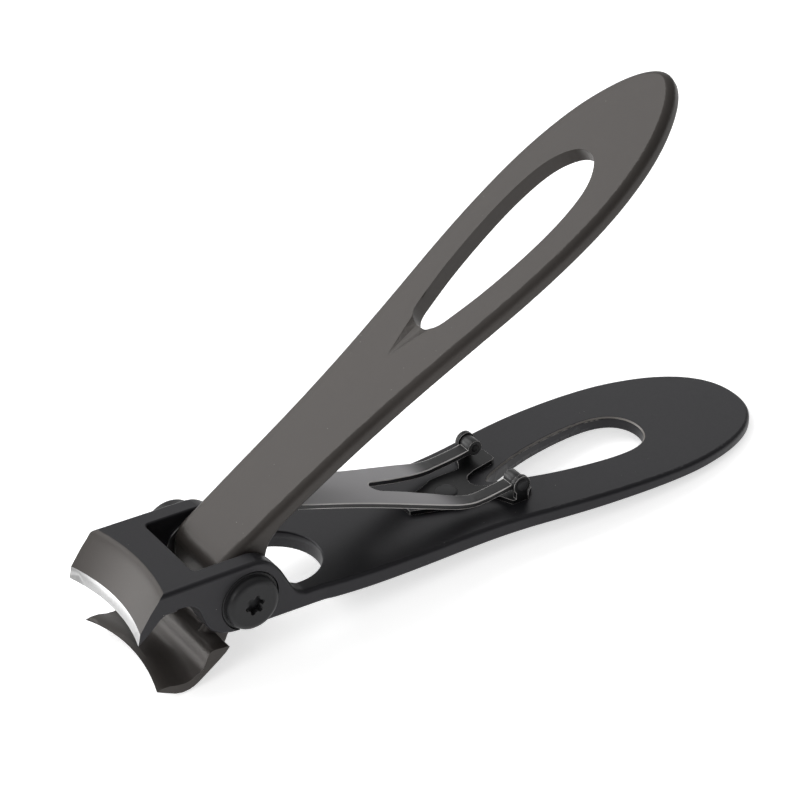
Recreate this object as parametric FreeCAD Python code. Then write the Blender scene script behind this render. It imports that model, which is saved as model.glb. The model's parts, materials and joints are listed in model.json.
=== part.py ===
import FreeCAD, Part
import math
import os

# Wide-jaw nail clipper, scissor action.  Millimetres, +Z up, resting on the plane z = 0.
#
# Design frame: the pivot axis is the Y axis, the top plate of the fixed jaw is level,
# the jaws point to -X and both handles to +X.  At the end everything is tilted by
# REST_TILT about Y and shifted, so that the lower jaw and the handle's tip touch z = 0.

V = FreeCAD.Vector

# ---------------------------------------------------------------- driving dimensions
# mechanism
ARM_ANGLE = 34.0        # the lever arm above the handle, open (rest pose), degrees
CLOSE_ANGLE = 27.8      # lever travel from open to blades meeting
REST_TILT = 4.70        # nose-up attitude on a table
PIVOT_R = 2.0           # screw shank
BORE_CLEAR = 0.05       # running clearance on the shank, radial

# fixed jaw and cheeks
JAW_TOP = 4.95          # top plate above the pivot
JAW_UNDER = 2.2         # underside of the top plate
JAW_W = 7.97            # outer half width of the cheeks at the root of the handle
JAW_FRONT_W = 8.15      # the same at the blade's corners
SLOT_W = 5.65           # half width of the slot that the lever passes through
SLOT_FRONT = -6.0
SLOT_REAR_C = 8.1       # centre of the slot's round rear end
HUB_BOTTOM = -3.62

# blades: both are turned about one vertical axis in front of the tool
BLADE_AXIS_X = -39.2
R_FACE_TOP = 28.7       # radius of the front face at the top plate
R_FACE_BOT = 26.06      # radius where the black face ends and the ground bevel starts
Z_FACE_BOT = 0.8
R_EDGE = 25.8           # radius of both cutting edges
Z_EDGE = -0.70
EDGE_GAP = 0.03         # left between the blades when closed
LOWER_W = 8.5           # half width of the moving jaw

# handle (fixed)
HANDLE_FLAT = (8.6, 23.0, -1.56)            # level stretch behind the cheeks: x from, x to, z
HANDLE_TOP_A = (27.0, -1.50)                # straight stretch that carries the spring plate
HANDLE_TOP_B = (43.0, -0.96)
HANDLE_TOP_REAR = [(50.0, -0.80), (60.0, -0.77), (70.0, -0.79), (80.0, -0.84)]
HANDLE_TIP = 77.25
HANDLE_TOP_FILLET = 0.55
HANDLE_PLAN = [(8.0, JAW_W), (11.0, 8.14), (14.0, 8.42), (20.0, 8.6), (26.0, 8.62), (31.0, 8.68),
               (35.0, 8.9), (39.5, 9.45), (43.5, 10.1), (48.0, 10.7), (52.0, 11.02), (56.0, 11.18),
               (60.0, 11.12), (63.5, 10.8), (66.5, 10.2), (69.2, 9.4), (71.7, 8.3), (73.8, 6.95),
               (75.3, 5.5), (76.4, 3.85), (77.05, 2.0), (HANDLE_TIP, 0.0)]
HANDLE_CUT = [(38.6, 0.0), (39.6, 0.75), (41.5, 1.55), (43.5, 2.25), (46.0, 2.98), (49.0, 3.62),
              (52.5, 4.12), (56.0, 4.28), (58.6, 3.9), (60.3, 2.95), (61.2, 1.6), (61.5, 0.0)]

# lever arm, in lever coordinates (x along the arm from the pivot, z above the pivot)
ARM_T = 2.2
ARM_TIP = 78.8
ARM_TOP = [(2.6, 4.43), (8.0, 4.43), (20.0, 4.32), (35.0, 4.16), (48.0, 4.1), (60.0, 4.18),
           (70.0, 4.42), (80.0, 4.85)]
ARM_PLAN = [(0.0, 5.3), (4.0, 5.32), (8.0, 5.45), (14.0, 5.6), (20.0, 5.82), (25.0, 6.15),
            (29.6, 6.55), (34.5, 7.1), (39.4, 7.7), (44.3, 8.32), (49.3, 8.82), (54.0, 9.08),
            (58.0, 9.12), (62.0, 8.88), (65.5, 8.38), (68.5, 7.7), (71.2, 6.8), (73.5, 5.75),
            (75.3, 4.7), (76.9, 3.45), (78.1, 2.05), (78.65, 0.95), (ARM_TIP, 0.0)]
ARM_CUT = [(36.6, 0.0), (36.7, 1.1), (37.4, 2.15), (39.5, 2.95), (43.0, 3.7), (47.0, 4.3),
           (51.5, 4.72), (55.5, 4.82), (59.0, 4.55), (62.0, 3.8), (64.0, 2.6), (65.1, 1.3), (65.4, 0.0)]
GROOVE_TIP = 30.5       # the thumb scoop that runs into the arm's cut-out
NECK_W = 5.3
ARM_TOP_FILLET = 1.1
ARM_BOT_FILLET = 0.45

# pivot hardware
HEAD_R = 3.4
HEAD_H = 1.15
HEAD_WASHER = (3.72, 2.1, 0.4)      # outer r, inner r, thickness
CBORE_DEPTH = 0.35
CBORE_R = 3.85
NUT_H = 3.15
NUT_R = 3.6
THRUST = (3.5, 2.1, 0.3)
LOBE_R = 1.3           # six-lobe recess, point radius
LOBE_DEPTH = 0.9

# spring
SPRING_X, SPRING_Z = 39.3, 1.25     # hinge eyes
LEAF_T = 0.7
LEAF_BEND = (32.3, 0.5)             # top surface at the bend
LEAF_SLOPE = 0.305
LEAF_TIP = 8.15
EYE_R, EYE_IN = 0.98, 0.54
PIN_R = 0.48
ARM_IN, ARM_OUT = 3.72, 5.58        # the two leaf arms
LUG_IN, LUG_OUT = 5.66, 6.3
LUG_R = 1.2
PLATE_T = 0.6
RIVET_X = 32.6


def rot_y(shape, deg, centre=(0, 0, 0)):
    s = shape.copy()
    s.rotate(V(*centre), V(0, 1, 0), deg)
    return s


def spline(points, t0=None, t1=None):
    c = Part.BSplineCurve()
    kw = {}
    if t0 is not None:
        kw["InitialTangent"] = V(*t0)
    if t1 is not None:
        kw["FinalTangent"] = V(*t1)
    if kw:
        c.interpolate(Points=[V(*p) for p in points], **kw)
    else:
        c.interpolate(Points=[V(*p) for p in points])
    return c.toShape()


def line(a, b):
    return Part.LineSegment(V(*a), V(*b)).toShape()


def prism_y(edges, y0, y1):
    """Closed outline in the XZ plane at y0, extruded to y1."""
    w = Part.Wire(edges)
    f = Part.Face(w)
    return f.extrude(V(0, y1 - y0, 0))


def poly_y(pts, y0, y1):
    p = [V(x, y0, z) for x, z in pts]
    return Part.Face(Part.makePolygon(p + [p[0]])).extrude(V(0, y1 - y0, 0))


def ring_curve(rz_spline, rz_rest):
    """Solid of revolution about the blade axis: a smooth curve, then straight runs back to its start."""
    p = [V(BLADE_AXIS_X + r, 0, z) for r, z in rz_spline]
    c = Part.BSplineCurve()
    c.interpolate(Points=p)
    q = [p[-1]] + [V(BLADE_AXIS_X + r, 0, z) for r, z in rz_rest] + [p[0]]
    e = [c.toShape()] + [Part.LineSegment(a, b).toShape() for a, b in zip(q, q[1:])]
    return Part.Face(Part.Wire(e)).revolve(V(BLADE_AXIS_X, 0, 0), V(0, 0, 1), 360)


def ring_tool(rz):
    """Solid of revolution about the vertical blade axis, from an (r, z) outline."""
    p = [V(BLADE_AXIS_X + r, 0, z) for r, z in rz]
    f = Part.Face(Part.makePolygon(p + [p[0]]))
    return f.revolve(V(BLADE_AXIS_X, 0, 0), V(0, 0, 1), 360)


def cyl_y(r, y0, y1, x=0.0, z=0.0):
    return Part.makeCylinder(r, y1 - y0, V(x, y0, z), V(0, 1, 0))


def teardrop(half, z0, z1):
    """Closed symmetric cut-out; the first and last points lie on the axis."""
    up = [(x, y, z0) for x, y in half]
    dn = [(x, -y, z0) for x, y in reversed(half[1:-1])]
    c = Part.BSplineCurve()
    c.interpolate(Points=[V(*p) for p in up + dn], PeriodicFlag=True)
    return Part.Face(Part.Wire([c.toShape()])).extrude(V(0, 0, z1 - z0))


def face_kind(f):
    u0, u1, v0, v1 = f.ParameterRange
    n = f.normalAt((u0 + u1) / 2, (v0 + v1) / 2)
    return n


def edges_between(shape, test_a, test_b):
    """Edges shared by a face passing test_a and a face passing test_b."""
    out = []
    fa = [f for f in shape.Faces if test_a(f)]
    fb = [f for f in shape.Faces if test_b(f)]
    for a in fa:
        for ea in a.Edges:
            for b in fb:
                if b.isSame(a):
                    continue
                if any(ea.isSame(eb) for eb in b.Edges):
                    if not any(ea.isSame(o) for o in out):
                        out.append(ea)
    return out


def try_fillet(shape, r, edges, label):
    """Round edges; falls back to a smaller radius, then to the sharp shape."""
    for k in (1.0, 0.8, 0.6, 0.4):
        try:
            s = shape.makeFillet(r * k, edges)
            if s.isValid() and s.Volume > 0.5 * shape.Volume and len(s.Solids) == 1:
                if k < 1.0:
                    print("fillet", label, "reduced to", r * k)
                return s
        except Exception:
            pass
    print("fillet", label, "left sharp")
    return shape


def handle_top_z(x):
    """Height of the straight stretch under the spring plate."""
    (xa, za), (xb, zb) = HANDLE_TOP_A, HANDLE_TOP_B
    return za + (zb - za) * (x - xa) / (xb - xa)


HANDLE_SLOPE = (HANDLE_TOP_B[1] - HANDLE_TOP_A[1]) / (HANDLE_TOP_B[0] - HANDLE_TOP_A[0])


# ---------------------------------------------------------------- 1 fixed handle with upper jaw
def make_frame():
    # side profile
    ear = [(0.4, 4.95), (1.95, 4.66), (3.3, 3.72), (4.4, 2.35), (5.15, 1.0), (5.85, -0.25), (6.45, -1.0), (7.3, -1.45), (8.6, -1.56)]
    yb = -13.0
    e = []
    e.append(line((-17.5, yb, JAW_TOP), (0.4, yb, JAW_TOP)))
    e.append(spline([(x, yb, z) for x, z in ear], t0=(1, 0, 0), t1=(1, 0, 0)))
    xa, xb, zf = HANDLE_FLAT
    e.append(line((xa, yb, zf), (xb, yb, zf)))
    e.append(spline([(xb, yb, zf), (HANDLE_TOP_A[0], yb, HANDLE_TOP_A[1])], t0=(1, 0, 0), t1=(1, 0, HANDLE_SLOPE)))
    e.append(line((HANDLE_TOP_A[0], yb, HANDLE_TOP_A[1]), (HANDLE_TOP_B[0], yb, HANDLE_TOP_B[1])))
    e.append(spline([(HANDLE_TOP_B[0], yb, HANDLE_TOP_B[1])] + [(x, yb, z) for x, z in HANDLE_TOP_REAR],
                    t0=(1, 0, HANDLE_SLOPE)))
    e.append(line((80.0, yb, -0.84), (80.0, yb, -2.22)))
    bottom = [(80.0, -2.22), (71.0, -2.2), (61.0, -2.3), (51.0, -2.5), (42.0, -2.85), (31.0, -3.4), (20.0, -3.72),
              (10.0, -3.72), (3.0, HUB_BOTTOM)]
    e.append(spline([(x, yb, z) for x, z in bottom], t1=(-1, 0, 0)))
    hub = [(3.0, HUB_BOTTOM), (0.0, HUB_BOTTOM - 0.02), (-2.6, -3.5), (-4.4, -2.85), (-5.35, -2.05), (-5.85, -1.1),
           (-6.3, 0.1), (-6.8, 1.15), (-7.6, 1.85), (-8.8, JAW_UNDER)]
    e.append(spline([(x, yb, z) for x, z in hub], t0=(-1, 0, 0), t1=(-1, 0, 0)))
    e.append(line((-8.8, yb, JAW_UNDER), (-17.5, yb, JAW_UNDER)))
    e.append(line((-17.5, yb, JAW_UNDER), (-17.5, yb, JAW_TOP)))
    side = prism_y(e, yb, 13.0)
    # room for the front of the blade, below the plate: the blade itself is added from a lower block
    blade_block = poly_y([(-17.5, JAW_UNDER + 0.5), (-9.6, JAW_UNDER + 0.5), (-9.6, JAW_UNDER), (-10.4, -3.0), (-17.5, -3.0)], yb, 13.0)
    side = side.fuse(blade_block).removeSplitter()

    # plan outline
    z0, z1 = -6.0, 8.0
    x0, y0 = HANDLE_PLAN[0]
    slope = (JAW_W - JAW_FRONT_W) / (x0 + 14.75)     # the flanks widen slightly towards the jaw
    y_front = y0 + slope * (-17.5 - x0)
    full = [(x, y, z0) for x, y in HANDLE_PLAN] + [(x, -y, z0) for x, y in reversed(HANDLE_PLAN[:-1])]
    plan_e = [spline(full, t0=(1, slope, 0), t1=(-1, slope, 0)),
              line((x0, -y0, z0), (-17.5, -y_front, z0)), line((-17.5, -y_front, z0), (-17.5, y_front, z0)),
              line((-17.5, y_front, z0), (x0, y0, z0))]
    plan = Part.Face(Part.Wire(plan_e)).extrude(V(0, 0, z1 - z0))
    body = side.common(plan)

    # round the long outer edges: top first, then underside
    def is_side(f):
        n = face_kind(f)
        return abs(n.z) < 0.05 and (abs(n.y) > 0.3 or n.x > 0.8)

    def is_top(f):
        n = face_kind(f)
        return n.z > 0.3 and abs(n.y) < 0.05

    def is_bottom(f):
        n = face_kind(f)
        return n.z < -0.3 and abs(n.y) < 0.05

    te = edges_between(body, is_side, is_top)
    te = [x for x in te if x.Length > 0.5]
    body = try_fillet(body, HANDLE_TOP_FILLET, te, "frame top")
    be = edges_between(body, is_side, is_bottom)
    be = [x for x in be if x.Length > 6.0 and x.BoundBox.XMax > 5.0]
    body = try_fillet(body, 0.3, be, "frame bottom")

    # blade: front face, ground bevel and the hollow under the cutting edge, all turned
    face = [(R_FACE_TOP + 1.1, JAW_TOP + 0.2), (R_FACE_TOP + 0.4, JAW_TOP - 0.04), (R_FACE_TOP - 0.05, JAW_TOP - 0.33), (R_FACE_TOP - 0.4, JAW_TOP - 0.85),
            (27.65, 3.25), (26.85, 2.05), (R_FACE_BOT, Z_FACE_BOT)]
    tool = ring_curve(face, [(R_EDGE, Z_EDGE), (27.35, 0.62), (28.6, 1.85), (29.2, JAW_UNDER), (31.5, JAW_UNDER), (31.5, -9.0), (12.0, -9.0),
                             (12.0, 9.0), (R_FACE_TOP + 1.1, 9.0)])
    tool = tool.common(Part.makeBox(14.0, 40.0, 30.0, V(-23.5, -20.0, -15.0)))
    body = body.cut(tool)
    body = max(body.Solids, key=lambda s: s.Volume)

    # slot for the lever, open through the top plate, between the cheeks and into the handle
    slot = Part.makeBox(SLOT_REAR_C - SLOT_FRONT, 2 * SLOT_W, 30.0, V(SLOT_FRONT, -SLOT_W, -15.0))
    vert = [x for x in slot.Edges if abs(x.Vertexes[0].X - SLOT_FRONT) < 1e-6 and abs(x.Vertexes[-1].X - SLOT_FRONT) < 1e-6
            and abs(x.Vertexes[0].Y - x.Vertexes[-1].Y) < 1e-6]
    slot = slot.makeFillet(0.6, vert)
    slot = slot.fuse(Part.makeCylinder(SLOT_W, 30.0, V(SLOT_REAR_C, 0, -15.0))).removeSplitter()
    body = body.cut(slot)
    # finger cut-out
    body = body.cut(teardrop(HANDLE_CUT, -9.0, 9.0))
    body = max(body.Solids, key=lambda s: s.Volume)

    # soften the rims
    def is_hole_wall(f):
        n = face_kind(f)
        bb = f.BoundBox
        return abs(n.z) < 0.05 and bb.YMax < SLOT_W + 0.1 and bb.YMin > -SLOT_W - 0.1

    def near_top(f):
        n = face_kind(f)
        return n.z > 0.25 and abs(n.y) < 0.1

    re_ = [x for x in edges_between(body, is_hole_wall, near_top) if x.Length > 0.4]
    hole = [x for x in re_ if x.BoundBox.XMin > 30.0]
    body = try_fillet(body, 0.3, hole, "finger hole rim")
    re_ = [x for x in edges_between(body, is_hole_wall, near_top) if x.Length > 0.4 and x.BoundBox.XMax < 30.0]
    body = try_fillet(body, 0.25, re_, "slot rim")

    # pivot bores and head seat
    body = body.cut(cyl_y(PIVOT_R + BORE_CLEAR, -12.0, 12.0))
    body = body.cut(cyl_y(CBORE_R, -12.0, -JAW_W + CBORE_DEPTH))
    body = body.cut(cyl_y(NUT_R + 0.08, JAW_W - 0.05, 12.0))
    # rivet hole
    ang = math.atan(HANDLE_SLOPE)
    hole = rot_y(Part.makeCylinder(0.82, 12.0, V(RIVET_X / math.cos(ang), 0, -6.0)), -math.degrees(ang))
    hole.translate(V(0, 0, handle_top_z(0.0)))
    body = body.cut(hole)
    return max(body.Solids, key=lambda s: s.Volume)


# ---------------------------------------------------------------- 2 lever with lower jaw
def from_arm(x, z):
    """Lever coordinates to the design frame, open."""
    c, s = math.cos(math.radians(ARM_ANGLE)), math.sin(math.radians(ARM_ANGLE))
    return (x * c - z * s, x * s + z * c)


def make_lower_jaw():
    """The moving jaw, drawn closed: the blade edges meet.  Then opened about the pivot."""
    slab = [(-17.5, -2.86), (-9.5, -2.86), (-8.85, -2.72), (-8.3, -2.32), (-7.75, -1.85), (-7.2, -1.55), (-6.6, -1.75),
            (-5.12, -2.72), (-5.05, -2.95), (-5.75, -3.22), (-6.74, -3.42), (-8.04, -3.62), (-9.4, -3.82), (-10.5, -3.93), (-17.5, -3.93)]
    jaw = poly_y(slab, -LOWER_W, LOWER_W)
    jaw = jaw.cut(Part.makeCylinder(29.3, 20.0, V(BLADE_AXIS_X, 0, -12.0)))
    ze = Z_EDGE - EDGE_GAP
    lip = ring_tool([(R_EDGE, ze), (26.2, -1.35), (26.72, -2.07), (27.34, -2.9), (28.0, -3.48), (28.8, -3.84), (29.6, -3.93), (29.9, -3.93),
                     (29.9, -2.86), (29.5, -2.84), (28.9, -2.68), (28.1, -2.15), (27.3, -1.4), (26.5, -0.92)])
    lip = lip.common(Part.makeBox(14.0, 2 * LOWER_W, 20.0, V(-19.0, -LOWER_W, -12.0)))
    jaw = jaw.fuse(lip).removeSplitter()
    jaw = max(jaw.Solids, key=lambda s: s.Volume)
    return rot_y(jaw, -CLOSE_ANGLE)


def make_lever():
    c, s = math.cos(math.radians(ARM_ANGLE)), math.sin(math.radians(ARM_ANGLE))
    yb = -12.0
    # side profile: arm top, nose, web down to the jaw, and back along the underside
    root_t, root_b = 4.6, 9.6
    arm_top = [from_arm(root_t, 4.43)] + [from_arm(x, z) for x, z in ARM_TOP if x > 7.0]
    nose = [from_arm(root_t, 4.43), from_arm(2.8, 4.43), from_arm(1.3, 4.40), (-1.84, 3.97), (-2.2, 3.45), (-2.5, 2.75), (-2.72, 1.8), (-2.8, 0.5),
            (-2.95, -1.2), (-3.5, -2.9), (-4.4, -4.2), (-5.3, -4.95)]
    rear = [(-5.6, -7.7), (-3.9, -7.75), (-2.55, -7.45), (-1.75, -6.8), (-1.35, -5.9), (-0.6, -4.9), (0.9, -3.9), (2.4, -2.6),
            (3.35, -0.8), (3.66, 1.2), (3.8, 3.0), (4.2, 4.5), (5.05, 5.72), from_arm(root_b, 4.43 - ARM_T)]
    arm_bot = [from_arm(root_b, 4.43 - ARM_T)] + [from_arm(x, z - ARM_T) for x, z in ARM_TOP if x > 11.0]
    tb = (c, 0, s)
    tf = (-c, 0, -s)
    e = [spline([(x, yb, z) for x, z in reversed(arm_top)], t1=tf),
         spline([(x, yb, z) for x, z in nose], t0=tf),
         line((nose[-1][0], yb, nose[-1][1]), (rear[0][0], yb, rear[0][1])),
         spline([(x, yb, z) for x, z in rear], t1=tb),
         spline([(x, yb, z) for x, z in arm_bot], t0=tb),
         line((arm_bot[-1][0], yb, arm_bot[-1][1]), (arm_top[-1][0], yb, arm_top[-1][1]))]
    side = prism_y(e, yb, 12.0)
    # outline square to the arm
    half = [(-14.0, NECK_W), (-6.0, NECK_W), (2.0, NECK_W)] + [q for q in ARM_PLAN if q[0] > 5.0]
    pts = [(x, y, -14.0) for x, y in half] + [(x, -y, -14.0) for x, y in reversed(half[:-1])]
    sp = spline(pts, t0=(1, 0.0, 0), t1=(-1, 0.0, 0))
    plan = Part.Face(Part.Wire([sp, line(pts[-1], pts[0])])).extrude(V(0, 0, 28.0))
    arm = side.common(rot_y(plan, -ARM_ANGLE))
    arm = max(arm.Solids, key=lambda q: q.Volume)

    def arm_frame(f):
        n = face_kind(f)
        return n.x * c + n.z * s, n.y, -n.x * s + n.z * c     # along the arm, across, off the arm

    def is_side(f):
        n = arm_frame(f)
        return abs(n[2]) < 0.05 and (abs(n[1]) > 0.3 or n[0] > 0.8)

    def is_top(f):
        n = arm_frame(f)
        return n[2] > 0.3 and abs(n[1]) < 0.05 and f.BoundBox.ZMax > 8.0

    def is_bottom(f):
        n = arm_frame(f)
        return n[2] < -0.3 and abs(n[1]) < 0.05 and f.BoundBox.ZMax > 8.0

    te = [q for q in edges_between(arm, is_side, is_top) if q.Length > 1.0]
    arm = try_fillet(arm, ARM_TOP_FILLET, te, "lever top")
    be = [q for q in edges_between(arm, is_side, is_bottom) if q.Length > 1.0]
    arm = try_fillet(arm, ARM_BOT_FILLET, be, "lever bottom")
    arm = arm.cut(rot_y(teardrop(ARM_CUT, -4.0, 10.0), -ARM_ANGLE))
    # thumb scoop: a shallow part cone that widens towards the cut-out
    px, pz = from_arm(GROOVE_TIP, 4.32)
    dx, dz = from_arm(1.0, 0.426)
    arm = arm.cut(Part.makeCone(0.02, 4.95, 9.0, V(px, 0, pz), V(dx, 0, dz)))
    lever = arm.fuse(make_lower_jaw())
    lever = lever.cut(cyl_y(PIVOT_R + BORE_CLEAR, -12.0, 12.0))
    return max(lever.Solids, key=lambda q: q.Volume)


# ---------------------------------------------------------------- 3..7 pivot hardware
def six_lobe(r, depth, y_face):
    """Six-lobe socket cut in the head, opening to -Y."""
    tool = cyl_y(r * 0.80, y_face - 0.5, y_face + depth)
    for i in range(6):
        a = math.radians(60 * i + 12)
        tool = tool.fuse(cyl_y(r * 0.27, y_face - 0.5, y_face + depth, r * 0.73 * math.cos(a), r * 0.73 * math.sin(a)))
    for i in range(6):
        a = math.radians(60 * i + 42)
        tool = tool.cut(cyl_y(r * 0.26, y_face - 0.6, y_face + depth + 0.1, r * 0.98 * math.cos(a), r * 0.98 * math.sin(a)))
    return tool


def make_screw():
    y_seat = -JAW_W + CBORE_DEPTH - HEAD_WASHER[2]
    y_face = y_seat - HEAD_H
    pts = [(0, y_face), (HEAD_R - 0.8, y_face), (HEAD_R - 0.5, y_face + 0.06), (HEAD_R - 0.25, y_face + 0.18), (HEAD_R - 0.08, y_face + 0.38), (HEAD_R, y_face + 0.65),
           (HEAD_R, y_seat), (PIVOT_R, y_seat), (PIVOT_R, 9.1), (PIVOT_R - 0.3, 9.4), (0, 9.4)]
    p = [V(r, y, 0) for r, y in pts]
    s = Part.Face(Part.makePolygon(p + [p[0]])).revolve(V(0, 0, 0), V(0, 1, 0), 360)
    return s.cut(six_lobe(LOBE_R, LOBE_DEPTH, y_face))


def make_head_washer():
    ro, ri, t = HEAD_WASHER
    y0 = -JAW_W + CBORE_DEPTH - t
    w = cyl_y(ro, y0, y0 + t).cut(cyl_y(ri, y0 - 1, y0 + t + 1))
    e = [x for x in w.Edges if isinstance(x.Curve, Part.Circle) and abs(x.Curve.Radius - ro) < 1e-6 and abs(x.BoundBox.YMin - y0) < 1e-6]
    return w.makeChamfer(0.1, e)


def make_nut():
    y0 = JAW_W - 0.05
    y1 = y0 + NUT_H
    r = NUT_R
    pts = [(PIVOT_R + 0.05, y0), (r, y0), (r, y1 - 0.75), (r - 0.08, y1 - 0.5), (r - 0.25, y1 - 0.25), (r - 0.5, y1 - 0.08), (r - 0.8, y1), (0, y1),
           (0, 10.2), (PIVOT_R + 0.05, 10.2)]
    p = [V(a, b, 0) for a, b in pts]
    s = Part.Face(Part.makePolygon(p + [p[0]])).revolve(V(0, 0, 0), V(0, 1, 0), 360)
    # wrench slot across the dome
    slot = Part.makeBox(2 * r + 2, 0.42, 0.8, V(-r - 1, y1 - 0.4, -0.4))
    return s.cut(slot)


def make_thrust(side):
    ro, ri, t = THRUST
    y0 = -SLOT_W if side < 0 else SLOT_W - t
    return cyl_y(ro, y0, y0 + t).cut(cyl_y(ri, y0 - 1, y0 + t + 1))


# ---------------------------------------------------------------- 8..12 spring
def leaf_outline(x):
    """Outer half width of the leaf."""
    pts = [(7.0, 3.75), (14.0, 3.85), (18.0, 4.05), (22.0, 4.45), (26.0, 4.98), (29.5, 5.4), (32.5, ARM_OUT), (40.5, ARM_OUT)]
    for (xa, ya), (xb, yb_) in zip(pts, pts[1:]):
        if x <= xb:
            return ya + (yb_ - ya) * (x - xa) / (xb - xa)
    return pts[-1][1]


def make_leaf():
    bx, bz = LEAF_BEND
    tipz = bz + LEAF_SLOPE * (bx - LEAF_TIP)
    yb = -9.0
    n = math.hypot(1, LEAF_SLOPE)
    dz = LEAF_T * n                   # vertical thickness on the slope
    tx, tz = -1 / n, LEAF_SLOPE / n   # along the leaf, forwards
    top = [(LEAF_TIP, tipz), (LEAF_TIP + 12, tipz - 12 * LEAF_SLOPE), (bx - 2.0, bz + 2.0 * LEAF_SLOPE), (bx - 0.8, bz + 0.31), (bx + 0.6, bz + 0.1),
           (bx + 2.2, bz + 0.17), (bx + 5.4, bz + 0.62), (SPRING_X, bz + 0.9)]
    e = [line((top[0][0], yb, top[0][1]), (top[2][0], yb, top[2][1])),
         spline([(x, yb, z) for x, z in top[2:]], t0=(1, 0, -LEAF_SLOPE))]
    lo = [(LEAF_TIP + 0.12, tipz - dz), (bx - 2.1, bz + 2.1 * LEAF_SLOPE - dz), (bx - 0.9, bz + 0.34 - dz), (bx + 0.6, bz + 0.1 - LEAF_T),
          (bx + 2.2, bz + 0.17 - LEAF_T), (bx + 5.4, bz + 0.62 - LEAF_T), (SPRING_X, bz + 0.9 - LEAF_T)]
    e.append(line((top[-1][0], yb, top[-1][1]), (lo[-1][0], yb, lo[-1][1])))
    e.append(spline([(x, yb, z) for x, z in reversed(lo[1:])], t1=(-1, 0, LEAF_SLOPE)))
    e.append(line((lo[1][0], yb, lo[1][1]), (lo[0][0], yb, lo[0][1])))
    e.append(line((lo[0][0], yb, lo[0][1]), (top[0][0], yb, top[0][1])))
    body = prism_y(e, yb, 9.0)
    xs = [7.0, 10.5, 14.0, 18.0, 22.0, 26.0, 29.5, 32.5, 36.0]
    outer = [(x, leaf_outline(x), -4.0) for x in xs] + [(SPRING_X, ARM_OUT, -4.0)]
    sp1 = spline(outer[:-1], t1=(1, 0, 0))
    sp2 = spline([(x, -y, z) for x, y, z in reversed(outer[:-1])], t0=(-1, 0, 0))
    plan = [sp1, line(outer[-2], outer[-1]), line(outer[-1], (SPRING_X, -ARM_OUT, -4.0)),
            line((SPRING_X, -ARM_OUT, -4.0), (36.0, -ARM_OUT, -4.0)), sp2,
            line((7.0, -leaf_outline(7.0), -4.0), (7.0, leaf_outline(7.0), -4.0))]
    plan = Part.Face(Part.Wire(plan)).extrude(V(0, 0, 20))
    body = body.common(plan)
    # triangular opening between the arms
    tip = 21.5
    tri = [(tip + 1.2, 1.2), (25.6, 1.65), (29.0, 2.45), (31.6, 3.25), (33.2, ARM_IN - 0.06), (34.2, ARM_IN), (44.0, ARM_IN)]
    pts = [V(x, y, -5) for x, y in tri] + [V(x, -y, -5) for x, y in reversed(tri)]
    opening = Part.Face(Part.makePolygon(pts + [pts[0]])).extrude(V(0, 0, 20))
    opening = opening.fuse(Part.makeCylinder(1.22, 20, V(tip + 1.22, 0, -5)))
    body = body.cut(opening)
    # rolled eyes
    for sgn in (-1, 1):
        y0, y1 = (ARM_IN, ARM_OUT) if sgn > 0 else (-ARM_OUT, -ARM_IN)
        body = body.fuse(cyl_y(EYE_R, y0, y1, SPRING_X, SPRING_Z))
    body = body.removeSplitter()
    body = body.cut(cyl_y(EYE_IN, -12, 12, SPRING_X, SPRING_Z))
    # square off whatever hangs past the eye
    return max(body.Solids, key=lambda q: q.Volume)


def make_plate():
    """Plate on the handle with two prongs that carry upright lugs.  Local frame: x along the handle, z off it."""
    ang = math.degrees(math.atan(HANDLE_SLOPE))
    zt = handle_top_z(0.0) + 0.01
    half = [(26.6, 1.05), (31.3, 2.75), (32.4, 3.3), (36.6, 3.3), (37.1, 4.0), (38.1, LUG_OUT), (40.3, LUG_OUT), (41.0, 5.55), (41.6, 5.1), (41.6, 2.9), (41.2, 2.6)]
    notch = [(37.9, 1.95), (36.6, 1.35), (36.15, 0.7), (36.0, 0.0)]
    up = half + notch
    pts = [V(x, y, 0) for x, y in up] + [V(x, -y, 0) for x, y in reversed(up[:-1])]
    plate = Part.Face(Part.makePolygon(pts + [pts[0]])).extrude(V(0, 0, PLATE_T))
    ve = [x for x in plate.Edges if abs(x.BoundBox.ZLength - PLATE_T) < 1e-3 and x.BoundBox.XMin > 30.0 and x.BoundBox.XMax < 39.0]
    plate = try_fillet(plate, 0.3, ve, "plate corners")
    # lug centre in the local frame
    c, s = math.cos(math.radians(ang)), math.sin(math.radians(ang))
    dx, dz = SPRING_X, SPRING_Z - zt
    lx, lz = dx * c + dz * s, -dx * s + dz * c
    for sgn in (-1, 1):
        y0, y1 = (LUG_IN, LUG_OUT) if sgn > 0 else (-LUG_OUT, -LUG_IN)
        lug = cyl_y(LUG_R, y0, y1, lx, lz)
        lug = lug.fuse(Part.makeBox(1.7, LUG_OUT - LUG_IN, lz, V(lx - 0.85, y0, 0)))
        plate = plate.fuse(lug)
    plate = plate.removeSplitter()
    plate = plate.cut(cyl_y(PIN_R + 0.02, -12, 12, lx, lz))
    plate = plate.cut(Part.makeCylinder(0.82, 5, V(RIVET_X / c, 0, -2)))
    plate = rot_y(plate, -ang)
    plate.translate(V(0, 0, zt))
    return max(plate.Solids, key=lambda q: q.Volume)


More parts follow.
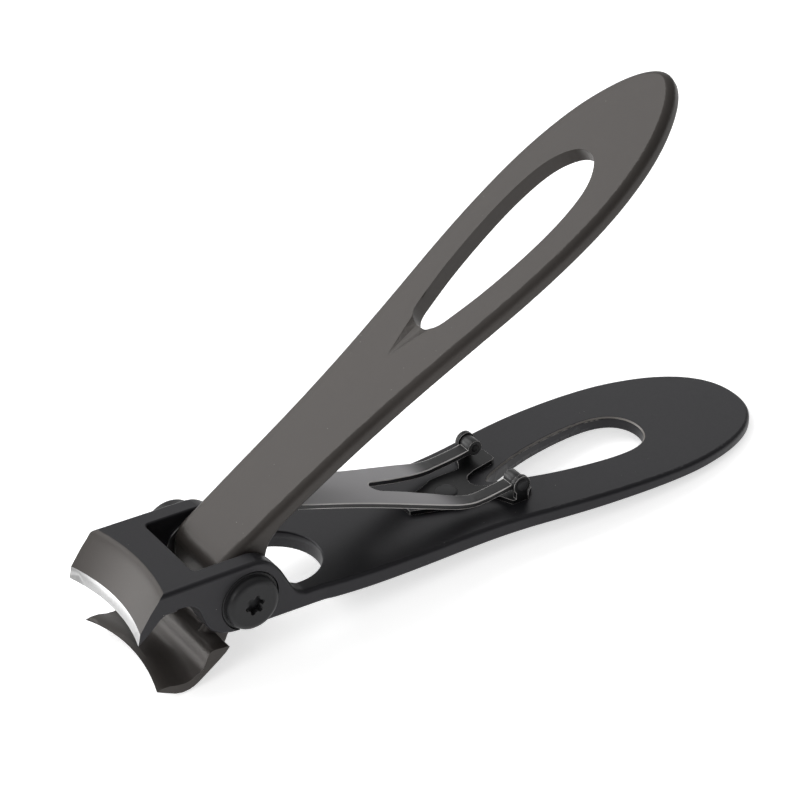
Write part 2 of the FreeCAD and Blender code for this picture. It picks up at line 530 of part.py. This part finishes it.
def make_pin(sgn):
    head_r, head_h = 0.8, 0.24
    pts = [(0, ARM_IN - 0.1), (PIN_R - 0.08, ARM_IN - 0.1), (PIN_R, ARM_IN), (PIN_R, LUG_OUT), (head_r, LUG_OUT), (head_r, LUG_OUT + head_h - 0.12),
           (head_r - 0.2, LUG_OUT + head_h), (0, LUG_OUT + head_h)]
    p = [V(r, y, 0) for r, y in pts]
    s = Part.Face(Part.makePolygon(p + [p[0]])).revolve(V(0, 0, 0), V(0, 1, 0), 360)
    if sgn < 0:
        s = s.mirror(V(0, 0, 0), V(0, 1, 0))
    s.translate(V(SPRING_X, 0, SPRING_Z))
    return s


def make_rivet():
    """Drawn in the plate's own frame, like the plate."""
    ang = math.atan(HANDLE_SLOPE)
    xr = RIVET_X / math.cos(ang)
    z_low, r_head, h_head = -1.7, 1.4, 0.22
    pts = [(0, z_low), (0.8, z_low), (0.8, PLATE_T), (r_head, PLATE_T), (r_head, PLATE_T + 0.05), (r_head - 0.12, PLATE_T + 0.14),
           (r_head - 0.4, PLATE_T + 0.19), (0.45, PLATE_T + h_head - 0.01), (0, PLATE_T + h_head)]
    p = [V(xr + r, 0, z) for r, z in pts]
    s = Part.Face(Part.makePolygon(p + [p[0]])).revolve(V(xr, 0, 0), V(0, 0, 1), 360)
    s = rot_y(s, -math.degrees(ang))
    s.translate(V(0, 0, handle_top_z(0.0) + 0.01))
    return s


def build():
    nodes = {
        "lower_handle_with_upper_jaw": make_frame(),
        "upper_lever_with_lower_jaw": make_lever(),
        "pivot_screw": make_screw(),
        "pivot_head_washer": make_head_washer(),
        "pivot_cap_nut": make_nut(),
        "thrust_washer_near": make_thrust(-1),
        "thrust_washer_far": make_thrust(1),
        "spring_leaf": make_leaf(),
        "spring_base_plate": make_plate(),
        "spring_hinge_pin_near": make_pin(-1),
        "spring_hinge_pin_far": make_pin(1),
        "spring_plate_rivet": make_rivet(),
    }
    return nodes


def placed(nodes):
    """Tilt onto the table and put the origin at the middle of the underside's box."""
    out = {}
    for k, s in nodes.items():
        out[k] = rot_y(s, REST_TILT)
    comp = Part.makeCompound(list(out.values()))
    bb = comp.optimalBoundingBox(False, False)
    dx, dy, dz = -(bb.XMin + bb.XMax) / 2, 0.0, -bb.ZMin
    for k in out:
        out[k].translate(V(dx, dy, dz))
    return out, (dx, dy, dz), bb


def main():
    os.makedirs("parts", exist_ok=True)
    nodes, shift, bb = placed(build())
    for k, s in nodes.items():
        s.exportStep("parts/%s.step" % k)
        print("%-30s valid %s solids %d vol %8.2f  box %.2f %.2f %.2f .. %.2f %.2f %.2f" % (
            k, s.isValid(), len(s.Solids), s.Volume, s.BoundBox.XMin, s.BoundBox.YMin, s.BoundBox.ZMin,
            s.BoundBox.XMax, s.BoundBox.YMax, s.BoundBox.ZMax))
    a = math.radians(REST_TILT)

    def place(x, z):
        return (x * math.cos(a) + z * math.sin(a) + shift[0], -x * math.sin(a) + z * math.cos(a) + shift[2])

    print("shift", shift, "size", bb.XLength, bb.YLength, bb.ZLength)
    print("pivot at", place(0, 0), "spring hinge at", place(SPRING_X, SPRING_Z))


main()
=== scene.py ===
import bpy, bmesh, json, math
from mathutils import Matrix, Vector


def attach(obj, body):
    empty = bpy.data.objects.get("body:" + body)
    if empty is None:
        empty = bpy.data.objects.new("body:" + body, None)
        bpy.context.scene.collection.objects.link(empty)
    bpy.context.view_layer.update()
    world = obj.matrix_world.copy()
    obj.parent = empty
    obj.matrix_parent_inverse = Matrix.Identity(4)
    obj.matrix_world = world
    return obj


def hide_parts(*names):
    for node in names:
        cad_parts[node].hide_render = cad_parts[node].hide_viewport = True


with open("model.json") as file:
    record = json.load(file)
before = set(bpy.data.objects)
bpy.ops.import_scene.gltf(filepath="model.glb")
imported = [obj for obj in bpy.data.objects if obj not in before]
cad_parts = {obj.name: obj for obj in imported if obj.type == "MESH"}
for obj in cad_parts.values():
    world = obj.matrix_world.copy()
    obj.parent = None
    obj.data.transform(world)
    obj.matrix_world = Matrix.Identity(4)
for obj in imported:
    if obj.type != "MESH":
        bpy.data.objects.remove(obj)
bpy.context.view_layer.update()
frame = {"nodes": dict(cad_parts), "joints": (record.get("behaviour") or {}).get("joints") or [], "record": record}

NODES = frame["nodes"]
MM = 0.001

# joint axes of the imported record, in metres
J = {j["name"]: j for j in frame["joints"]}
PIVOT = Vector(J["lever_hinge"]["pos_m"])
EYE = Vector(J["spring_hinge"]["pos_m"])
TILT = math.radians(4.70)
ARM = math.radians(34.0)


def to_frame(x, y, z):
    """Design frame (pivot at the origin, jaw plate level, mm) to the row frame, m."""
    return Vector(((x * math.cos(TILT) + z * math.sin(TILT)) * MM + PIVOT.x, y * MM,
                   (-x * math.sin(TILT) + z * math.cos(TILT)) * MM + PIVOT.z))


def to_design(p):
    """Row frame, m, to the design frame, mm."""
    x, z = (p.x - PIVOT.x) / MM, (p.z - PIVOT.z) / MM
    return (x * math.cos(TILT) - z * math.sin(TILT), p.y / MM, x * math.sin(TILT) + z * math.cos(TILT))


# ------------------------------------------------------------------ node helpers
def new_mat(name):
    m = bpy.data.materials.new(name)
    m.use_nodes = True
    nt = m.node_tree
    nt.nodes.clear()
    out = nt.nodes.new("ShaderNodeOutputMaterial")
    bsdf = nt.nodes.new("ShaderNodeBsdfPrincipled")
    nt.links.new(bsdf.outputs["BSDF"], out.inputs["Surface"])
    return m, nt, bsdf


def N(nt, kind, **props):
    n = nt.nodes.new(kind)
    for k, v in props.items():
        setattr(n, k, v)
    return n


def ramp(nt, fac, stops, interp="LINEAR"):
    r = nt.nodes.new("ShaderNodeValToRGB")
    r.color_ramp.interpolation = interp
    el = r.color_ramp.elements
    while len(el) > 1:
        el.remove(el[-1])
    el[0].position, el[0].color = stops[0][0], stops[0][1]
    for p, c in stops[1:]:
        e = el.new(p)
        e.color = c
    nt.links.new(fac, r.inputs["Fac"])
    return r


def g(v, a=1.0):
    return (v, v, v, a)


def obj_coords(nt):
    return nt.nodes.new("ShaderNodeTexCoord").outputs["Object"]


def noise(nt, vec, scale, detail=3.0, rough=0.55):
    n = nt.nodes.new("ShaderNodeTexNoise")
    n.inputs["Scale"].default_value = scale
    n.inputs["Detail"].default_value = detail
    n.inputs["Roughness"].default_value = rough
    nt.links.new(vec, n.inputs["Vector"])
    return n.outputs["Fac"]


def mix_rgb(nt, fac, a, b, mode="MIX"):
    m = nt.nodes.new("ShaderNodeMix")
    m.data_type = "RGBA"
    m.blend_type = mode
    for sock, v in ((m.inputs[0], fac), (m.inputs[6], a), (m.inputs[7], b)):
        if hasattr(v, "links") or hasattr(v, "is_linked"):
            nt.links.new(v, sock)
        else:
            sock.default_value = v
    return m.outputs[2]


def math_node(nt, op, a, b=None, c=None, clamp=False):
    m = nt.nodes.new("ShaderNodeMath")
    m.operation = op
    m.use_clamp = clamp
    for i, v in enumerate((a, b, c)):
        if v is None:
            continue
        if hasattr(v, "is_linked"):
            nt.links.new(v, m.inputs[i])
        else:
            m.inputs[i].default_value = v
    return m.outputs[0]


def coated(name, base, light, rough=0.42, spec=0.5, edge_wear_and_highlight=0.5, speck=1.0, coat=0.0, seed=0.0, metal=0.0, tint=(1.0, 1.0, 1.0, 1.0), fade=None):
    """Satin black coating on steel: fine orange peel, dust specks, edges lightened partly as worn coating and partly
    as painted edge highlight.
    fade: (x from, x to, colour) - the colour the part turns to along its length."""
    m, nt, b = new_mat(name)
    co = obj_coords(nt)
    mp = N(nt, "ShaderNodeMapping")
    mp.inputs["Location"].default_value = (seed, seed * 1.7, -seed)
    nt.links.new(co, mp.inputs["Vector"])
    vec = mp.outputs["Vector"]
    broad = noise(nt, vec, 90.0, 2.0, 0.5)
    fine = noise(nt, vec, 2600.0, 4.0, 0.6)
    col = mix_rgb(nt, ramp(nt, broad, [(0.3, g(0.0)), (0.7, g(1.0))]).outputs["Color"], base, light)
    if fade:
        sx = N(nt, "ShaderNodeSeparateXYZ")
        nt.links.new(co, sx.inputs[0])
        mr = N(nt, "ShaderNodeMapRange")
        mr.interpolation_type = "SMOOTHSTEP"
        mr.inputs["From Min"].default_value = fade[0]
        mr.inputs["From Max"].default_value = fade[1]
        nt.links.new(sx.outputs["X"], mr.inputs["Value"])
        col = mix_rgb(nt, mr.outputs["Result"], col, fade[2])
    b.inputs["Specular Tint"].default_value = tint
    # lighter edges: partly worn coating showing the steel under the film, partly a painted edge highlight
    geo = N(nt, "ShaderNodeNewGeometry")
    soft = N(nt, "ShaderNodeBevel")
    soft.samples = 4
    soft.inputs["Radius"].default_value = 0.00022
    turn = N(nt, "ShaderNodeVectorMath")
    turn.operation = "DOT_PRODUCT"
    nt.links.new(soft.outputs["Normal"], turn.inputs[0])
    nt.links.new(geo.outputs["Normal"], turn.inputs[1])
    edge = ramp(nt, turn.outputs["Value"], [(0.86, g(1.0)), (0.985, g(0.0))]).outputs["Color"]
    edge_n = math_node(nt, "MULTIPLY", edge, math_node(nt, "MULTIPLY_ADD", noise(nt, vec, 500.0, 3.0), 0.9, 0.1), clamp=True)
    col = mix_rgb(nt, math_node(nt, "MULTIPLY", edge_n, edge_wear_and_highlight, clamp=True), col, (0.20, 0.195, 0.19, 1.0))
    # sparse pale dust
    vor = N(nt, "ShaderNodeTexVoronoi")
    vor.inputs["Scale"].default_value = 1150.0
    nt.links.new(vec, vor.inputs["Vector"])
    dot = ramp(nt, vor.outputs["Distance"], [(0.035, g(1.0)), (0.075, g(0.0))]).outputs["Color"]
    pick = ramp(nt, noise(nt, vec, 430.0, 1.0), [(0.60, g(0.0)), (0.64, g(1.0))]).outputs["Color"]
    dust = math_node(nt, "MULTIPLY", math_node(nt, "MULTIPLY", dot, pick), speck * 0.5, clamp=True)
    col = mix_rgb(nt, dust, col, (0.34, 0.33, 0.31, 1.0))
    nt.links.new(col, b.inputs["Base Color"])
    r = math_node(nt, "MULTIPLY_ADD", fine, 0.10, rough - 0.05)
    r = math_node(nt, "MULTIPLY_ADD", broad, 0.06, r)
    nt.links.new(r, b.inputs["Roughness"])
    b.inputs["Metallic"].default_value = metal
    b.inputs["Specular IOR Level"].default_value = spec
    b.inputs["Coat Weight"].default_value = coat
    b.inputs["Coat Roughness"].default_value = 0.25
    bump = N(nt, "ShaderNodeBump")
    bump.inputs["Strength"].default_value = 0.10
    bump.inputs["Distance"].default_value = 0.00003
    nt.links.new(math_node(nt, "MULTIPLY_ADD", dust, 2.0, fine), bump.inputs["Height"])
    nt.links.new(bump.outputs["Normal"], b.inputs["Normal"])
    return m


def ground_steel(name, axis="Z", base=0.72):
    """Freshly ground cutting bevel: bright, with fine grinding lines."""
    m, nt, b = new_mat(name)
    co = obj_coords(nt)
    mp = N(nt, "ShaderNodeMapping")
    mp.inputs["Scale"].default_value = (1.0, 14.0, 1.0)
    nt.links.new(co, mp.inputs["Vector"])
    lines = noise(nt, mp.outputs["Vector"], 900.0, 3.0, 0.7)
    broad = noise(nt, co, 220.0, 2.0)
    nt.links.new(ramp(nt, lines, [(0.25, g(base * 0.82)), (0.75, g(base * 1.06))]).outputs["Color"], b.inputs["Base Color"])
    b.inputs["Metallic"].default_value = 1.0
    nt.links.new(math_node(nt, "MULTIPLY_ADD", broad, 0.18, 0.22), b.inputs["Roughness"])
    bump = N(nt, "ShaderNodeBump")
    bump.inputs["Strength"].default_value = 0.12
    bump.inputs["Distance"].default_value = 0.00002
    nt.links.new(lines, bump.inputs["Height"])
    nt.links.new(bump.outputs["Normal"], b.inputs["Normal"])
    return m


MATS = {
    "frame": coated("black_coat_frame", (0.0100, 0.0100, 0.0114, 1), (0.0138, 0.0138, 0.0154, 1), rough=0.37, spec=0.30, edge_wear_and_highlight=0.12, seed=0.1, tint=(0.97, 0.95, 1.0, 1)),
    "lever": coated("black_coat_lever", (0.0280, 0.0244, 0.0220, 1), (0.0355, 0.0311, 0.0282, 1), rough=0.40, spec=0.385, edge_wear_and_highlight=0.12, seed=0.3, tint=(1.0, 0.955, 0.925, 1)),
    # spring leaf: its top is painted light grey as a painted sheen over the front of its length, fading towards the
    # rear to the near black of the steel; its sides keep that near black
    "leaf": coated("spring_steel_painted_sheen", (0.27, 0.262, 0.272, 1), (0.31, 0.302, 0.312, 1), rough=0.38, spec=0.42, speck=0.5, seed=0.5,
                   fade=(-0.0030, 0.0014, (0.008, 0.008, 0.0086, 1))),
    "leaf_side": coated("spring_steel_side", (0.018, 0.018, 0.0185, 1), (0.026, 0.026, 0.0265, 1), rough=0.36, spec=0.34, speck=0.4, seed=0.6),
    "plate": coated("black_sheet", (0.0050, 0.0050, 0.0054, 1), (0.0078, 0.0078, 0.0082, 1), rough=0.34, spec=0.26, speck=0.6, seed=0.7),
    "hardware": coated("black_oxide", (0.0150, 0.0150, 0.0160, 1), (0.0195, 0.0195, 0.0208, 1), rough=0.36, spec=0.22, edge_wear_and_highlight=0.3, speck=0.4, seed=0.9),
    # painted highlight: near-white colour on the rounded edges of the spring leaf and the base plate
    "highlight_rounds": coated("painted_edge_highlight", (0.48, 0.465, 0.455, 1), (0.70, 0.68, 0.665, 1), rough=0.34, spec=0.5, edge_wear_and_highlight=0.2, speck=0.2, seed=1.1),
    # painted highlight on the sloped rim faces of the finger cut-out
    "hole_rim": coated("painted_rim_highlight", (0.10, 0.092, 0.085, 1), (0.26, 0.242, 0.225, 1), rough=0.34, spec=0.5, edge_wear_and_highlight=0.2, speck=0.2, seed=1.3),
    "steel": ground_steel("ground_steel", base=0.40),
    "washer": ground_steel("washer_steel", base=0.35),
}
NODE_MAT = {
    "lower_handle_with_upper_jaw": "frame", "upper_lever_with_lower_jaw": "lever", "pivot_screw": "hardware",
    "pivot_head_washer": "hardware", "pivot_cap_nut": "hardware", "thrust_washer_near": "washer", "thrust_washer_far": "washer",
    "spring_leaf": "leaf", "spring_base_plate": "plate", "spring_hinge_pin_near": "hardware", "spring_hinge_pin_far": "hardware",
    "spring_plate_rivet": "hardware",
}
BODY = {n: b for b, ns in frame["record"]["behaviour"]["bodies"].items() for n in ns}


# ------------------------------------------------------------------ mesh pieces
BLADE_AXIS_X = -39.2
CLOSE = math.radians(27.8)


def closed(p):
    """A point of the lever in the design frame, turned to where it is with the blades shut."""
    x, y, z = p
    return (x * math.cos(CLOSE) + z * math.sin(CLOSE), y, -x * math.sin(CLOSE) + z * math.cos(CLOSE))


def on_arm(p):
    """Design frame to lever coordinates: along the arm, across, off the arm."""
    x, y, z = p
    return (x * math.cos(ARM) + z * math.sin(ARM), y, -x * math.sin(ARM) + z * math.cos(ARM))


def vec_to_design(n):
    return Vector((n.x * math.cos(TILT) - n.z * math.sin(TILT), n.y, n.x * math.sin(TILT) + n.z * math.cos(TILT)))


def vec_to_frame(n):
    return Vector((n.x * math.cos(TILT) + n.z * math.sin(TILT), n.y, -n.x * math.sin(TILT) + n.z * math.cos(TILT)))


def table(x, rows):
    """Straight-line interpolation in (x, value) rows sorted by x."""
    if x <= rows[0][0]:
        return rows[0][1]
    for (xa, va), (xb, vb) in zip(rows, rows[1:]):
        if x <= xb:
            return va + (vb - va) * (x - xa) / (xb - xa)
    return rows[-1][1]


def set_true_normals(ob, rule):
    """Keep the weighted normals, and put the exact surface normal on the long gently curved faces."""
    bpy.context.view_layer.update()
    dg = bpy.context.evaluated_depsgraph_get()
    ev = ob.evaluated_get(dg)
    em = ev.to_mesh()
    normals = [Vector(c.vector) for c in em.corner_normals]
    ev.to_mesh_clear()
    me = ob.data
    if len(normals) != len(me.loops):
        return
    for p in me.polygons:
        pn = vec_to_design(p.normal)
        for li in p.loop_indices:
            v = rule(to_design(me.vertices[me.loops[li].vertex_index].co), pn)
            if v is not None:
                normals[li] = vec_to_frame(Vector(v)).normalized()
    ob.modifiers.clear()
    me.normals_split_custom_set([tuple(n) for n in normals])


def rounded_copy(node, rules, dissolve=0.12, sharp=24.0, smooth=30.0, mats=None, pick=None, edge_mat=None, true_normal=None):
    """A new piece from a CAD solid: facets of one plane merged, real rounds on its edges.
    rules: (test(mid in the design frame), width mm, segments); an edge takes the first rule that fits it.
    edge_mat: index of the material that the rounds get, where they differ from the faces."""
    src = NODES[node].data
    bm = bmesh.new()
    bm.from_mesh(src)
    bmesh.ops.remove_doubles(bm, verts=bm.verts, dist=3e-6)
    bmesh.ops.dissolve_limit(bm, angle_limit=math.radians(dissolve), verts=bm.verts, edges=bm.edges)
    bmesh.ops.dissolve_degenerate(bm, dist=3e-6, edges=bm.edges)
    taken = bm.edges.layers.int.new("taken")
    for i, (test, width, seg) in enumerate(rules):
        for e in bm.edges:
            if e[taken] or len(e.link_faces) != 2 or e.calc_face_angle(0.0) < math.radians(sharp):
                continue
            if test(to_design((e.verts[0].co + e.verts[1].co) / 2)):
                e[taken] = i + 1
    for i, (test, width, seg) in enumerate(rules):
        if width <= 0:
            continue
        es = [e for e in bm.edges if e[taken] == i + 1]
        if es:
            bmesh.ops.bevel(bm, geom=es, offset=width * MM, offset_type="OFFSET", segments=seg, profile=0.5, affect="EDGES",
                            clamp_overlap=True, loop_slide=True, miter_outer="SHARP", miter_inner="SHARP",
                            material=-1 if edge_mat is None else edge_mat)
    bmesh.ops.remove_doubles(bm, verts=bm.verts, dist=1e-6)
    me = bpy.data.meshes.new(node + "_mesh")
    bm.to_mesh(me)
    bm.free()
    for m in mats:
        me.materials.append(m)
    for p in me.polygons:
        p.use_smooth = True
        if pick and not (edge_mat is not None and p.material_index == edge_mat):
            p.material_index = pick(to_design(p.center), p.normal)
    me.set_sharp_from_angle(angle=math.radians(smooth))
    ob = bpy.data.objects.new("shown_" + node, me)
    bpy.context.scene.collection.objects.link(ob)
    mod = ob.modifiers.new("face_weighted_normals", "WEIGHTED_NORMAL")
    mod.keep_sharp = True
    mod.weight = 50
    if true_normal:
        set_true_normals(ob, true_normal)
    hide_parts(node)
    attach(ob, BODY[node])
    return ob


def frame_pick(c, n):
    """1: bare ground bevel, 2: painted highlight on the rim of the finger cut-out, 3: front face of the blade, in the
    lighter lever coating as painted light, 0: coating.
    """
    if math.hypot(c[0] - BLADE_AXIS_X, c[1]) < 26.4 and c[2] < 0.85:
        return 1
    rc = math.hypot(c[0] - BLADE_AXIS_X, c[1])
    m = vec_to_design(n)
    # painted light: the blade's front face takes the lighter lever coating where it turns to the light
    if c[0] < -9.0 and c[2] > 0.75 and rc < 29.2 and m.z < 0.93 and (m.x * (c[0] - BLADE_AXIS_X) + m.y * c[1]) / rc < -0.3:
        return 3
    # painted highlight: the sloped rim faces of the finger cut-out
    if 38.0 < c[0] < 62.5 and abs(c[1]) < 5.0 and c[2] > -1.6 and 0.25 < vec_to_design(n).z < 0.93:
        return 2
    return 0


def lever_pick(c, n):
    """1: bare ground cutting edge, 0: coating."""
    q, m = closed(c), closed(vec_to_design(n))
    return 1 if q[0] < -11.5 and math.hypot(q[0] - BLADE_AXIS_X, q[1]) < 26.3 and q[2] > -1.5 and m[2] < 0.3 else 0


def frame_skip(p):
    x, y, z = p
    r = math.hypot(x - BLADE_AXIS_X, y)
    if r < 27.6 and z < 1.6:
        return True                       # the ground bevel stays crisp
    if x * x + z * z < 4.3 ** 2 and abs(y) > 5.0:
        return True                       # pivot bores and seats
    if abs(math.hypot(x - 32.6, y)) < 1.2:
        return True
    return False


def lever_skip(p):
    x, y, z = closed(p)
    r = math.hypot(x - BLADE_AXIS_X, y)
    if x < -9 and r < 26.6:
        return True
    return p[0] ** 2 + p[2] ** 2 < 2.4 ** 2


FRONT_ANGLE = [(26.0, 57.7), (26.8, 57.0), (27.6, 54.5), (28.3, 54.0), (28.6, 45.0), (28.9, 31.0), (29.2, 13.0)]
HANDLE_RISE = [(23.0, 0.0), (25.0, 0.012), (27.0, 0.0338), (43.0, 0.0338), (46.5, 0.023), (55.0, 0.003), (65.0, -0.002), (75.0, -0.005)]
CREST_ANGLE = [(-9.7, 0.0), (-9.2, 9.0), (-8.85, 22.0), (-8.3, 36.0), (-7.75, 30.0), (-7.35, 14.0), (-7.2, 4.0), (-6.9, -14.0), (-6.6, -25.0),
               (-6.0, -32.0), (-5.1, -33.0)]
ARM_RISE = [(8.0, -0.006), (14.0, -0.0095), (27.0, -0.0107), (41.0, -0.0046), (54.0, 0.0067), (65.0, 0.024), (75.0, 0.043)]


def frame_normal(p, n):
    """Front face of the upper blade, its flat top and the top of the handle."""
    x, y, z = p
    r = math.hypot(x - BLADE_AXIS_X, y)
    if x < -9.0 and z > 0.7 and 25.9 < r < 29.4:
        ux, uy = (x - BLADE_AXIS_X) / r, y / r
        if n.x * ux + n.y * uy < -0.12 and abs(n.y * ux - n.x * uy) < 0.12:
            a = math.radians(table(r, FRONT_ANGLE))
            return (-math.sin(a) * ux, -math.sin(a) * uy, math.cos(a))
    if n.z > 0.988 and z > 4.85:
        return (0.0, 0.0, 1.0)
    if n.z > 0.985 and x > 8.0 and -1.75 < z < -0.6:
        return (-table(x, HANDLE_RISE), 0.0, 1.0)
    return None


def lever_normal(p, n):
    """Top of the lever's arm."""
    a, m = on_arm(p), on_arm((n.x, n.y, n.z))
    flat = 0.998 if 29.0 < a[0] < 40.2 and abs(a[1]) < 4.0 else 0.975
    if m[2] > flat and a[0] > 4.0 and a[2] > 3.85:
        k = table(a[0], ARM_RISE)
        q = (-k, 0.0, 1.0)
        return (q[0] * math.cos(ARM) - q[2] * math.sin(ARM), 0.0, q[0] * math.sin(ARM) + q[2] * math.cos(ARM))
    if 30.0 < a[0] < 40.2 and abs(a[1]) < 3.7 and 2.6 < a[2] < 4.6 and m[2] > 0.3:
        # the shallow scoop runs out softly into the top
        k = 1.0 if a[0] > 36.9 and abs(a[1]) > 2.2 else 0.25
        t = (-math.sin(ARM), 0.0, math.cos(ARM))
        return (n.x * (1 - k) + t[0] * k, n.y * (1 - k), n.z * (1 - k) + t[2] * k)
    q, w = closed(p), closed((n.x, n.y, n.z))
    if -9.8 < q[0] < -5.0 and -3.0 < q[2] < -1.4 and w[2] > 0.5 and abs(w[1]) < 0.1:
        k = math.radians(table(q[0], CREST_ANGLE))
        c = (-math.sin(k), math.cos(k))
        return (c[0] * math.cos(CLOSE) - c[1] * math.sin(CLOSE), 0.0, c[0] * math.sin(CLOSE) + c[1] * math.cos(CLOSE))
    return None


def screw_normal(p, n):
    return (0.0, -1.0, 0.0) if n.y < -0.96 and math.hypot(p[0], p[2]) < 2.7 else None


def lever_hole_rim(p):
    a = on_arm(p)
    return 40.3 < a[0] < 66.0 and abs(a[1]) < 5.3 and a[2] > 3.4


def lever_scoop_rim(p):
    a = on_arm(p)
    return 30.0 < a[0] < 40.3 and abs(a[1]) < 3.7 and a[2] > 2.2


FRAME = rounded_copy("lower_handle_with_upper_jaw",
                     [(frame_skip, 0.0, 1), (lambda p: p[0] < -6.3 and p[2] < 4.0, 0.22, 3), (lambda p: p[2] > 4.0, 0.28, 3),
                      (lambda p: True, 0.22, 3)],
                     # the fourth material is the lighter lever coating, used as painted light on the upper blade's
                     # front face
                     mats=[MATS["frame"], MATS["steel"], MATS["hole_rim"], MATS["lever"]], pick=frame_pick, sharp=36.0, smooth=38.0,
                     true_normal=frame_normal)
LEVER = rounded_copy("upper_lever_with_lower_jaw",
                     [(lever_skip, 0.0, 1), (lever_hole_rim, 0.45, 4), (lever_scoop_rim, 0.0, 1),
                      (lambda p: p[0] < 0 and abs(p[1]) > 8.3 and closed(p)[0] > -8.8, 0.5, 4),
                      (lambda p: p[0] < 0 and p[2] < -2.0, 0.25, 3), (lambda p: True, 0.22, 3)],
                     mats=[MATS["lever"], MATS["steel"]], pick=lever_pick, sharp=36.0, smooth=38.0,
                     true_normal=lever_normal)
# the leaf's upward faces take the painted sheen, its side faces the plain dark steel, its rounds the painted edge
# highlight
LEAF = rounded_copy("spring_leaf", [(lambda p: p[0] < 38.2, 0.11, 3), (lambda p: math.hypot(p[0] - 39.3, p[2] - 1.25) > 0.75, 0.07, 2)],
                    mats=[MATS["leaf"], MATS["leaf_side"], MATS["highlight_rounds"]], smooth=35.0, edge_mat=2,
                    pick=lambda c, n: 1 if n.z < 0.2 else 0)
# the plate's rounds take the painted edge highlight
PLATE = rounded_copy("spring_base_plate", [(lambda p: math.hypot(p[0] - 32.6, p[1]) > 1.2 and math.hypot(p[0] - 39.3, p[2] - 1.25) > 0.7, 0.08, 2)],
                     mats=[MATS["plate"], MATS["highlight_rounds"]], smooth=35.0, edge_mat=1)
SCREW = rounded_copy("pivot_screw", [(lambda p: True, 0.0, 1)], mats=[MATS["hardware"]], smooth=35.0,
                     true_normal=screw_normal)
for node in ("pivot_head_washer", "pivot_cap_nut", "thrust_washer_near", "thrust_washer_far", "spring_hinge_pin_near", "spring_hinge_pin_far",
             "spring_plate_rivet"):
    rounded_copy(node, [(lambda p: True, 0.06, 2)], mats=[MATS[NODE_MAT[node]]], smooth=38.0)
for node, ob in NODES.items():
    ob.data.materials.clear()
    ob.data.materials.append(MATS[NODE_MAT[node]])

# ------------------------------------------------------------------ stage, light, camera
floor_me = bpy.data.meshes.new("floor")
S = 1.8
floor_me.from_pydata([(-S, -S, 0), (S, -S, 0), (S, S, 0), (-S, S, 0)], [], [(0, 1, 2, 3)])
floor = bpy.data.objects.new("floor", floor_me)
floor.location = (0, 0, -0.00002)
bpy.context.scene.collection.objects.link(floor)
fm, fnt, fb = new_mat("pale_floor")
fb.inputs["Roughness"].default_value = 0.6
fn = noise(fnt, obj_coords(fnt), 40.0, 2.0)
fnt.links.new(ramp(fnt, fn, [(0.3, g(0.86)), (0.7, g(0.88))]).outputs["Color"], fb.inputs["Base Color"])
fb.inputs["Emission Color"].default_value = (1.0, 1.0, 1.0, 1.0)
fb.inputs["Emission Strength"].default_value = 0.62
floor_me.materials.append(fm)

world = bpy.data.worlds.new("studio")
bpy.context.scene.world = world
world.use_nodes = True
wnt = world.node_tree
bg = wnt.nodes["Background"]
bg.inputs["Color"].default_value = (1.0, 1.0, 1.0, 1.0)
wco = wnt.nodes.new("ShaderNodeTexCoord")
dot = wnt.nodes.new("ShaderNodeVectorMath")
dot.operation = "DOT_PRODUCT"
dot.inputs[1].default_value = (-0.25, 0.62, 0.74)
wnt.links.new(wco.outputs["Generated"], dot.inputs[0])
wr = wnt.nodes.new("ShaderNodeMapRange")
wr.inputs["From Min"].default_value = -0.6
wr.inputs["From Max"].default_value = 1.0
wr.inputs["To Min"].default_value = 0.06
wr.inputs["To Max"].default_value = 0.66
wnt.links.new(dot.outputs["Value"], wr.inputs["Value"])
wnt.links.new(wr.outputs["Result"], bg.inputs["Strength"])
bpy.context.scene.view_settings.view_transform = "Standard"
bpy.context.scene.view_settings.look = "None"


def area(name, loc, target, size, power, size_y=None, color=(1, 1, 1)):
    d = bpy.data.lights.new(name, "AREA")
    d.shape = "RECTANGLE" if size_y else "SQUARE"
    d.size = size
    if size_y:
        d.size_y = size_y
    d.energy = power
    d.color = color
    o = bpy.data.objects.new(name, d)
    o.location = loc
    o.rotation_euler = (Vector(target) - Vector(loc)).to_track_quat("-Z", "Y").to_euler()
    bpy.context.scene.collection.objects.link(o)
    return o


area("back_soft", (-0.16, 0.42, 0.46), (0, 0, 0.02), 0.40, 1.6)
area("jaw_soft", (-0.50, -0.16, 0.30), (-0.03, 0, 0.01), 0.25, 0.8)
area("right_back_soft", (0.40, 0.50, 0.30), (0.02, 0, 0.01), 0.34, 0.22)
area("left_back_soft", (-0.42, 0.45, 0.15), (-0.03, 0, 0.01), 0.34, 1.35, size_y=0.24)

cam_d = bpy.data.cameras.new("camera")
cam_d.sensor_fit = "HORIZONTAL"
cam_d.sensor_width = 36.0
cam_d.lens = 137.61
cam_d.clip_start = 0.02
cam_d.clip_end = 20.0
cam = bpy.data.objects.new("camera", cam_d)
bpy.context.scene.collection.objects.link(cam)
cx = Vector((0.83235789, -0.55118972, -0.05805371))
cy = Vector((0.34537799, 0.43391629, 0.83212421))
cz = Vector((-0.43346786, -0.71267563, 0.55154244))
eye = PIVOT + Vector((-0.129370, -0.256633, 0.210921))
cam.matrix_world = Matrix(((cx.x, cy.x, cz.x, eye.x), (cx.y, cy.y, cz.y, eye.y), (cx.z, cy.z, cz.z, eye.z), (0, 0, 0, 1)))
bpy.context.scene.camera = cam
